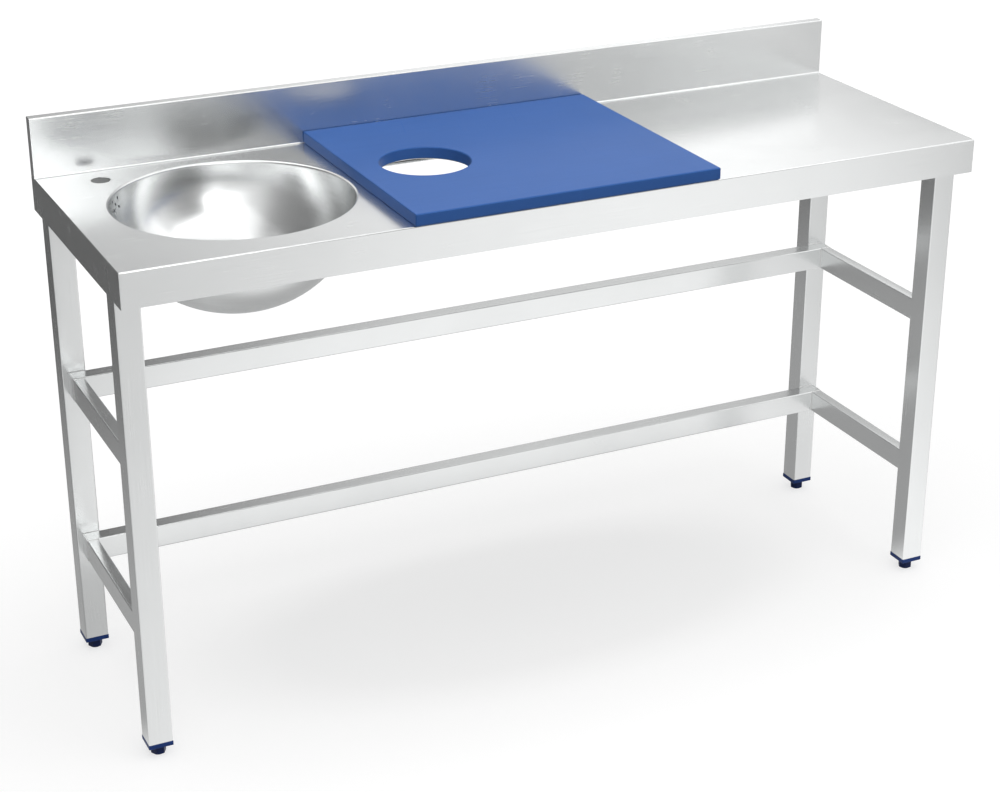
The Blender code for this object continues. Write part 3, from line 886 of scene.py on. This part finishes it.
# the light from all round, the floor's own colour, the lamps, and the cards that only reflections see
studio = {
    "around": {"level": 0.24, "overhead": 0.68, "left": 0.35, "fromLeft": (-0.9, 0.2)},
    "white": 1.0,
    "floor": (0.34, 0.34, 0.34),
    "floorReach": 40.0,
    # how brightly the floor glows, by distance from the table in metres, counted less along its length; it
    # is dimmer near the table, a painted shadow
    "glowAndPaintedShadow": [(0.0, 0.605), (0.2, 0.62), (0.3, 0.695), (0.5, 0.74), (0.8, 0.79), (2.0, 0.88), (4.5, 0.98)],
    "alongLess": 0.45,
    "lamps": {
        "overhead": {
            "place": (0.1, -1.2, 3.2), "aim": (0.1, -0.9, 0.0), "size": (4.0, 3.6), "power": 64.0,
            "reflected": True,
        },
        # a card stands for this lamp in reflections
        "front": {
            "place": (-0.5, -2.8, 2.1), "aim": (-0.3, 0.0, 0.9), "size": (1.1, 1.1), "power": 4.0,
            "reflected": False,
        },
    },
    # each card: two corners, how softly it ends, its brightest tone or more, and its tones along a
    # direction or out from a centre; one is turned, in degrees, about a point
    "cards": {
        "backLow": {
            "low": (-1.4, 1.3, 0.42), "high": (2.6, 1.3, 1.28), "soft": 0.14, "peak": 1.0,
            "along": (1.0, 0.0, 0.0),
            "tones": [(-0.45, 0.12), (-0.22, 0.30), (0.05, 0.50), (0.32, 0.67), (0.6, 0.73), (1.0, 0.69),
                      (1.3, 0.62), (1.6, 0.52)],
        },
        "backHigh": {
            "low": (-0.9, 2.4, 1.1), "high": (3.6, 2.4, 2.75), "soft": 0.20, "peak": 2.0,
            "along": (1.0, 0.0, -2.2),
            "tones": [(-4.33, 0.42), (-4.05, 0.53), (-3.9, 0.70), (-3.63, 1.02), (-3.43, 1.15),
                      (-2.9, 1.20), (-2.3, 1.62), (-1.85, 1.80), (-1.6, 1.10), (-1.4, 0.66),
                      (-1.26, 0.38), (-0.9, 0.22)],
        },
        "backTop": {
            "low": (-1.1, 2.45, 2.75), "high": (1.9, 2.45, 4.30), "soft": 0.35, "peak": 3.0,
            "along": (1.0, 0.0, 0.0),
            "tones": [(-1.1, 1.7), (0.0, 2.0), (0.45, 2.8), (0.9, 2.4), (1.9, 1.7)],
        },
        "backLeft": {
            "low": (-6.0, 3.3, 0.0), "high": (-0.8, 3.3, 2.4), "soft": 0.40, "peak": 1.0,
            "along": (1.0, 0.0, 0.0), "tones": [(-5.5, 0.14), (-0.8, 0.16)],
        },
        "left": {
            "low": (-2.6, -2.9, 0.9), "high": (-2.6, 3.2, 4.0), "soft": 0.30, "peak": 1.0,
            "along": (0.0, 1.0, 0.0),
            "tones": [(-2.9, 0.99), (-2.1, 0.93), (-1.65, 0.76), (-1.0, 0.46), (-0.3, 0.32), (0.6, 0.27),
                      (1.7, 0.20), (3.2, 0.25)],
        },
        "right": {
            "low": (2.5, -1.2, 1.5), "high": (2.5, 1.9, 4.2), "soft": 0.35, "peak": 2.0,
            "along": (0.0, 1.0, 0.0),
            "tones": [(-1.2, 1.8), (-0.5, 1.5), (0.0, 1.3), (0.8, 1.4), (1.9, 1.6)],
        },
        "frontFlag": {
            "low": (0.02, -2.5, 1.30), "high": (1.88, -2.5, 2.05), "soft": 0.18, "peak": 1.0,
            "along": (1.0, 0.0, 0.0), "tones": [(0.0, 0.14), (1.4, 0.16), (1.9, 0.40)],
        },
        "bowlFlag": {
            "about": (-0.49, 0.0, 0.0), "turn": 35.0,
            "low": (-0.71, -1.4, 0.70), "high": (0.75, -1.4, 2.14), "soft": 0.28, "peak": 1.4,
            "along": (1.0, 0.0, 0.0),
            "tones": [(-0.71, 0.60), (-0.50, 0.46), (-0.26, 0.40), (-0.06, 0.42), (0.15, 0.47),
                      (0.35, 0.62), (0.75, 0.85)],
        },
        "frontTall": {
            "low": (1.0, -2.6, 1.9), "high": (2.6, -2.6, 2.9), "soft": 0.30, "peak": 1.0,
            "along": (1.0, 0.0, 0.0), "tones": [(1.0, 0.35), (2.6, 0.35)],
        },
        "leftRoof": {
            "low": (-2.55, -3.3, 3.10), "high": (-0.90, 0.3, 3.10), "soft": 0.25, "peak": 1.5,
            "along": (0.724, -0.69, 0.0),
            "tones": [(-1.6, 0.60), (-1.4, 0.52), (-1.2, 0.57), (-1.0, 0.70), (-0.8, 0.93), (-0.6, 1.25),
                      (-0.42, 1.38), (0.0, 1.45)],
        },
        "midRoof": {
            "low": (-0.95, -1.25, 3.14), "high": (1.75, 0.45, 3.14), "soft": 0.22, "peak": 1.5,
            "along": (0.35, 1.0, 0.0),
            "tones": [(-1.35, 1.40), (-1.15, 1.36), (-1.05, 1.27), (-0.95, 1.17), (-0.82, 1.11),
                      (-0.6, 1.08), (0.0, 1.10), (0.8, 1.25)],
        },
        "backRoof": {
            "low": (-1.7, 0.7, 3.6), "high": (0.5, 2.5, 3.6), "soft": 0.40, "peak": 2.6,
            "along": (1.0, 0.0, 0.0), "tones": [(-1.7, 2.5), (0.5, 2.0)],
        },
        "frontSoft": {
            "low": (-2.55, -2.55, 1.55), "high": (0.45, -2.55, 2.70), "soft": 0.18, "peak": 4.0,
            "along": (1.0, 0.0, 0.0),
            "tones": [(-2.5, 1.05), (-2.0, 1.25), (-1.5, 1.7), (-0.5, 3.5), (0.05, 3.5), (0.45, 2.4)],
        },
        "frontLow": {
            "low": (-1.15, -2.54, 0.85), "high": (-0.28, -2.54, 1.74), "soft": 0.18, "peak": 2.0,
            "along": (1.0, 0.0, 0.0), "tones": [(-1.15, 1.0), (-0.75, 1.25), (-0.55, 1.6), (-0.28, 1.6)],
        },
        "frontRight": {
            "low": (1.75, -2.52, 1.50), "high": (3.4, -2.52, 2.5), "soft": 0.16, "peak": 1.8,
            "along": (0.25, 0.0, 1.0), "tones": [(2.1, 0.50), (2.2, 0.68), (2.3, 0.92), (2.45, 1.45)],
        },
        "floorRear": {
            "low": (-4.5, -0.22, 0.004), "high": (0.88, 3.2, 0.004), "soft": 0.16, "peak": 1.0,
            "centre": (0.3, -0.2, 0.0),
            "tones": [(0.0, 0.42), (1.3, 0.44), (1.65, 0.35), (1.95, 0.26), (2.2, 0.20), (2.6, 0.13)],
        },
        "floorFront": {
            "low": (-3.5, -4.2, 0.003), "high": (4.2, -0.05, 0.003), "soft": 0.20, "peak": 1.4,
            "along": (0.866, 0.5, 0.0),
            "tones": [(-1.6, 0.72), (-1.25, 0.80), (-1.0, 0.92), (-0.76, 1.04), (-0.57, 1.18), (-0.3, 1.22),
                      (0.3, 1.22), (0.57, 1.22), (0.68, 1.05), (0.86, 0.87), (1.05, 0.52)],
        },
        "floorLegLeft": {
            "low": (-0.77, -0.12, 0.005), "high": (-0.58, 0.30, 0.005), "soft": 0.04, "peak": 1.0,
            "along": (1.0, 0.0, 0.0), "tones": [(-0.8, 0.66), (-0.5, 0.66)],
        },
        "floorLegRight": {
            "low": (0.70, -0.12, 0.005), "high": (0.98, 0.30, 0.005), "soft": 0.04, "peak": 1.0,
            "along": (1.0, 0.0, 0.0), "tones": [(0.7, 0.95), (0.98, 0.95)],
        },
    },
}


def whiteRays(look):
    # 1 on the rays that show the surroundings themselves, or their reflection
    seen = [look.add("ShaderNodeLightPath", output=name)
            for name in ("Is Camera Ray", "Is Glossy Ray", "Is Transmission Ray")]
    return look.clamp(seen[0] + seen[1] + seen[2])


def makeWorld():
    # lit more from overhead than from the sides, and least from the left
    look = Look("studio surroundings", world=True)
    around = studio["around"]
    toward = look.axes(look.add("ShaderNodeTexCoord", output="Generated"))
    level = around["level"] + look.clamp(toward[2]) * (around["overhead"] - around["level"])
    level = level * (around["left"] + look.rise(toward[0], *around["fromLeft"]) * (1 - around["left"]))
    sockets = {0: whiteRays(look), 2: level, 3: studio["white"]}
    strength = look.add("ShaderNodeMix", {"data_type": "FLOAT"}, sockets)
    light = look.add("ShaderNodeBackground", sockets={"Color": (1.0, 1.0, 1.0), "Strength": strength})
    look.tree.links.new(light.socket, look.end.inputs["Surface"])
    bpy.context.scene.world = look.data


def stagePiece(name, bm, look):
    mesh = bpy.data.meshes.new(name)
    bm.to_mesh(mesh)
    bm.free()
    mesh.materials.append(look.data)
    item = bpy.data.objects.new(name, mesh)
    bpy.context.scene.collection.objects.link(item)
    return item


def makeFloor():
    bm = bmesh.new()
    bmesh.ops.create_grid(bm, x_segments=1, y_segments=1, size=studio["floorReach"])
    look = Look("pale floor with painted shadow")
    x, y, z = look.axes(look.place())
    # the glow is dimmer near the table: a painted shadow under and around it, added to the floor's real
    # shading
    off = look.vector(x * studio["alongLess"], y, 0.0)
    reach = studio["glowAndPaintedShadow"][-1][0]
    away = look.add("ShaderNodeVectorMath", {"operation": "LENGTH"}, {0: off}, output=1)
    stops = [(place / reach, tone) for place, tone in studio["glowAndPaintedShadow"]]
    level = look.axes(look.add("ShaderNodeValToRGB", {"stops": stops}, {0: away / reach}))[0]
    matt = look.add("ShaderNodeBsdfDiffuse", sockets={"Color": studio["floor"]})
    glowAndPaintedShadow = look.add("ShaderNodeEmission", sockets={"Strength": whiteRays(look) * level})
    both = look.add("ShaderNodeAddShader", sockets={0: matt, 1: glowAndPaintedShadow})
    look.tree.links.new(both.socket, look.end.inputs["Surface"])
    stagePiece("floor", bm, look)


def makeLamps():
    for name, lamp in studio["lamps"].items():
        data = bpy.data.lights.new(name, "AREA")
        data.shape = "RECTANGLE"
        data.size, data.size_y = lamp["size"]
        data.energy = lamp["power"]
        item = bpy.data.objects.new(name, data)
        item.location = lamp["place"]
        aim = Vector(lamp["aim"]) - item.location
        item.rotation_euler = aim.to_track_quat("-Z", "Y").to_euler()
        item.visible_glossy = lamp["reflected"]
        bpy.context.scene.collection.objects.link(item)


def cardTone(look, card):
    # the card's brightness, read from its tones by how far a point lies along it
    if "centre" in card:
        start, reach = 0.0, card["tones"][-1][0]
        off = look.place(card["centre"])
        along = look.add("ShaderNodeVectorMath", {"operation": "LENGTH"}, {0: off}, output=1)
    else:
        start = card["tones"][0][0]
        reach = card["tones"][-1][0] - start
        sockets = {0: look.place(), 1: card["along"]}
        along = look.add("ShaderNodeVectorMath", {"operation": "DOT_PRODUCT"}, sockets, output=1)
    stops = [((place - start) / reach, tone / card["peak"]) for place, tone in card["tones"]]
    ramp = look.add("ShaderNodeValToRGB", {"stops": stops}, {0: (along - start) / reach})
    return look.axes(ramp)[0] * card["peak"]


def makeCards():
    for name, card in studio["cards"].items():
        low, high = Vector(card["low"]), Vector(card["high"])
        spans = [axis for axis in range(3) if high[axis] > low[axis]]
        points = [low.copy(), low.copy(), high.copy(), low.copy()]
        points[1][spans[0]] = high[spans[0]]
        points[3][spans[1]] = high[spans[1]]
        bm = bmesh.new()
        bm.faces.new([bm.verts.new(point) for point in points])
        look = Look(name)
        place = look.axes(look.place())
        fade = 1.0
        for axis in spans:
            for edge, inward in ((low[axis], card["soft"]), (high[axis], -card["soft"])):
                fade = look.rise(place[axis], edge, edge + inward) * fade
        clear = look.add("ShaderNodeBsdfTransparent")
        shown = look.add("ShaderNodeEmission", sockets={"Strength": cardTone(look, card)})
        both = look.add("ShaderNodeMixShader", sockets={0: fade, 1: clear, 2: shown})
        look.tree.links.new(both.socket, look.end.inputs["Surface"])
        item = stagePiece(name, bm, look)
        item.location = card.get("about", (0.0, 0.0, 0.0))
        item.rotation_euler.z = radians(card.get("turn", 0.0))
        item.visible_camera = False
        item.visible_diffuse = False
        item.visible_shadow = False
        item.visible_transmission = False


makeWorld()
makeFloor()
makeLamps()
makeCards()
bpy.context.scene.view_settings.view_transform = "Standard"
print("studio done")
